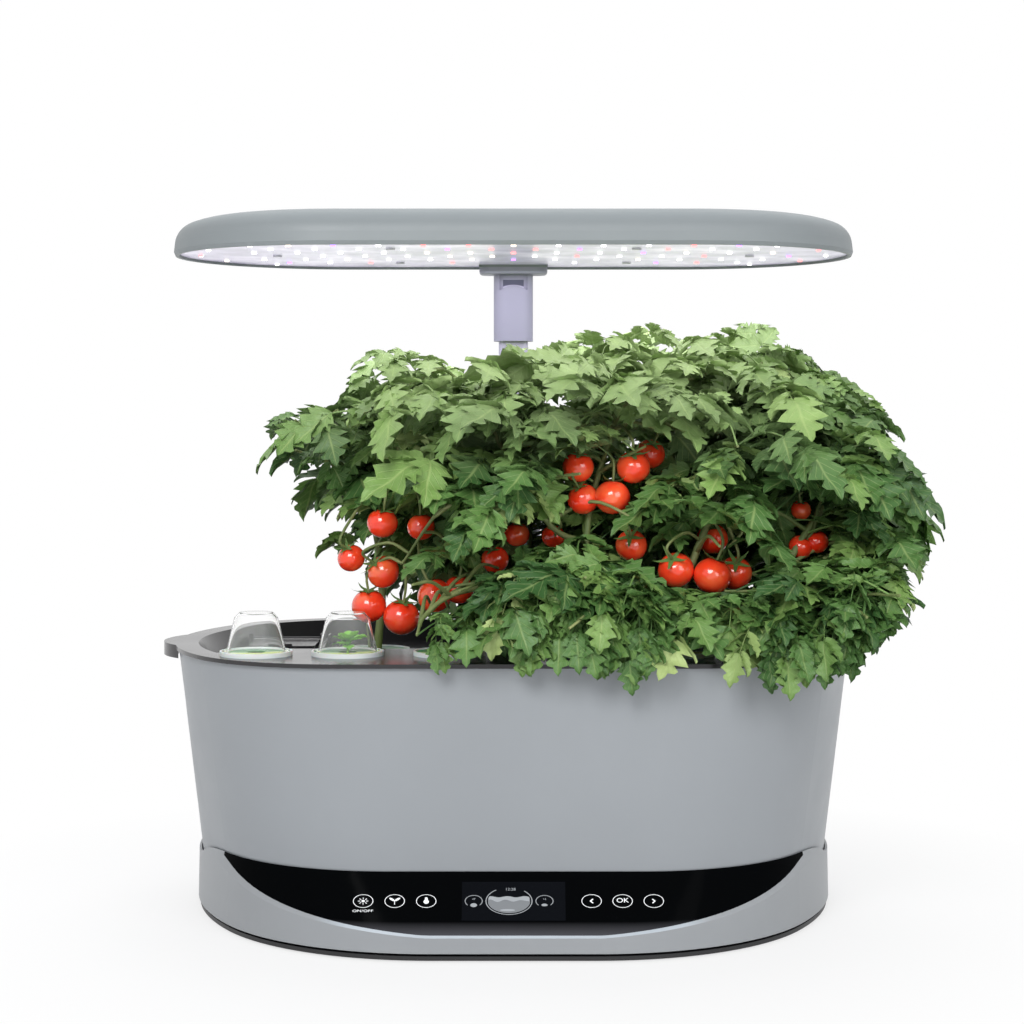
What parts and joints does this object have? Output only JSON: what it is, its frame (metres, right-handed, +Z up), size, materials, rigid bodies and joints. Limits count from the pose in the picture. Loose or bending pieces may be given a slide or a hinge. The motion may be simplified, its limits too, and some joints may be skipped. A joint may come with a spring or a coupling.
{
  "type": "countertop hydroponic garden",
  "caption": "Countertop hydroponic garden: water bowl on a base with a sloped touch panel, dark grow deck with seed pods and tomato plants, and an LED hood on a telescoping mast.",
  "frame": {"origin": "on the worktop, under the middle of the bowl and the grow deck, at the plane of the rubber foot", "axes": "+Z up, -Y to the front with the control panel, +X to the user's right"},
  "size_m": [0.4692, 0.305, 0.4294],
  "materials": {
    "grey_plastic": "satin moulded",
    "black_plastic": "matte",
    "panel_black": "high gloss",
    "display_black": "high gloss",
    "board": "matte",
    "rubber_black": "matte",
    "screw_steel": "brushed",
    "pump_blue": "matte",
    "foam": "open foam",
    "deck_charcoal": "satin moulded",
    "label_green": "gloss printed",
    "leaf_green": "soft leaf",
    "mast_grey": "satin anodised",
    "reflector_white": "glossy white",
    "led_lens": "clear",
    "basket_white": "translucent",
    "sponge_brown": "open foam",
    "dome_clear": "clear"
  },
  "bodies": {
    "base": {"base_shell": "grey_plastic", "console_shell": "grey_plastic", "bottom_cover": "black_plastic", "control_panel": "panel_black", "display_window": "display_black", "display_module": "board", "main_board": "board", "power_jack": "black_plastic", "rubber_foot": "rubber_black", "base_screws": "screw_steel", "mast_outer_tube": "mast_grey", "mast_outer_bushing": "black_plastic"},
    "bowl": {"bowl": "grey_plastic", "pump_housing": "black_plastic", "pump_cover": "black_plastic", "pump_riser": "black_plastic", "pump_filter": "foam"},
    "impeller": {"pump_impeller": "pump_blue"},
    "deck": {"grow_deck": "deck_charcoal", "deck_tray": "deck_charcoal", "deck_notch_collar": "deck_charcoal", "deck_pod_labels": "label_green", "tomato_plants": "leaf_green", "tomato_canopy": "leaf_green", "pod_3_basket": "basket_white", "pod_3_sponge": "sponge_brown", "pod_4_basket": "basket_white", "pod_4_sponge": "sponge_brown", "pod_5_basket": "basket_white", "pod_5_sponge": "sponge_brown", "pod_6_basket": "basket_white", "pod_6_sponge": "sponge_brown", "pod_7_basket": "basket_white", "pod_7_sponge": "sponge_brown", "pod_8_basket": "basket_white", "pod_8_sponge": "sponge_brown", "pod_9_basket": "basket_white", "pod_9_sponge": "sponge_brown"},
    "fill_lid": {"fill_lid": "deck_charcoal"},
    "pod_1": {"pod_1_basket": "basket_white", "pod_1_sponge": "sponge_brown", "pod_1_label": "label_green"},
    "pod_2": {"pod_2_basket": "basket_white", "pod_2_sponge": "sponge_brown", "pod_2_label": "label_green", "pod_2_seedling": "leaf_green"},
    "dome_1": {"pod_1_dome": "dome_clear"},
    "dome_2": {"pod_2_dome": "dome_clear"},
    "mast_middle": {"mast_middle_tube": "mast_grey", "mast_middle_bushing": "black_plastic"},
    "mast_inner": {"mast_inner_tube": "mast_grey", "mast_inner_bushing": "black_plastic"},
    "lamp": {"mast_top_tube": "mast_grey", "hood_sleeve": "grey_plastic", "hood_shell": "grey_plastic", "led_board": "board", "reflector_panel": "reflector_white", "led_emitters": "led_lens", "hood_screws": "screw_steel"}
  },
  "joints": [
    {"name": "bowl_lift", "type": "slide", "parent": "base", "child": "bowl", "axis": [0, 0, 1], "range_m": [0, 0.03]},
    {"name": "impeller_spin", "type": "hinge", "parent": "bowl", "child": "impeller", "pos_m": [0.052, 0.076, 0.045], "axis": [0, 0, 1], "continuous": true},
    {"name": "deck_lift", "type": "slide", "parent": "bowl", "child": "deck", "axis": [0, 0, 1], "range_m": [0, 0.03]},
    {"name": "fill_lid_hinge", "type": "hinge", "parent": "deck", "child": "fill_lid", "pos_m": [-0.148, 0.068, 0.1563], "axis": [-1, 0, 0], "range_deg": [0, 100]},
    {"name": "pod_1_lift", "type": "slide", "parent": "deck", "child": "pod_1", "axis": [0, 0, 1], "range_m": [0, 0.065]},
    {"name": "pod_2_lift", "type": "slide", "parent": "deck", "child": "pod_2", "axis": [0, 0, 1], "range_m": [0, 0.065]},
    {"name": "dome_1_lift", "type": "slide", "parent": "pod_1", "child": "dome_1", "axis": [0, 0, 1], "range_m": [0, 0.03]},
    {"name": "dome_2_lift", "type": "slide", "parent": "pod_2", "child": "dome_2", "axis": [0, 0, 1], "range_m": [0, 0.03]},
    {"name": "mast_lower_slide", "type": "slide", "parent": "base", "child": "mast_middle", "axis": [0, 0, 1], "range_m": [0, 0.217]},
    {"name": "mast_middle_slide", "type": "slide", "parent": "mast_middle", "child": "mast_inner", "axis": [0, 0, 1], "range_m": [0, 0.217]},
    {"name": "mast_top_slide", "type": "slide", "parent": "mast_inner", "child": "lamp", "axis": [0, 0, 1], "range_m": [-0.086, 0], "deforming": ["tomato_canopy"]}
  ]
}
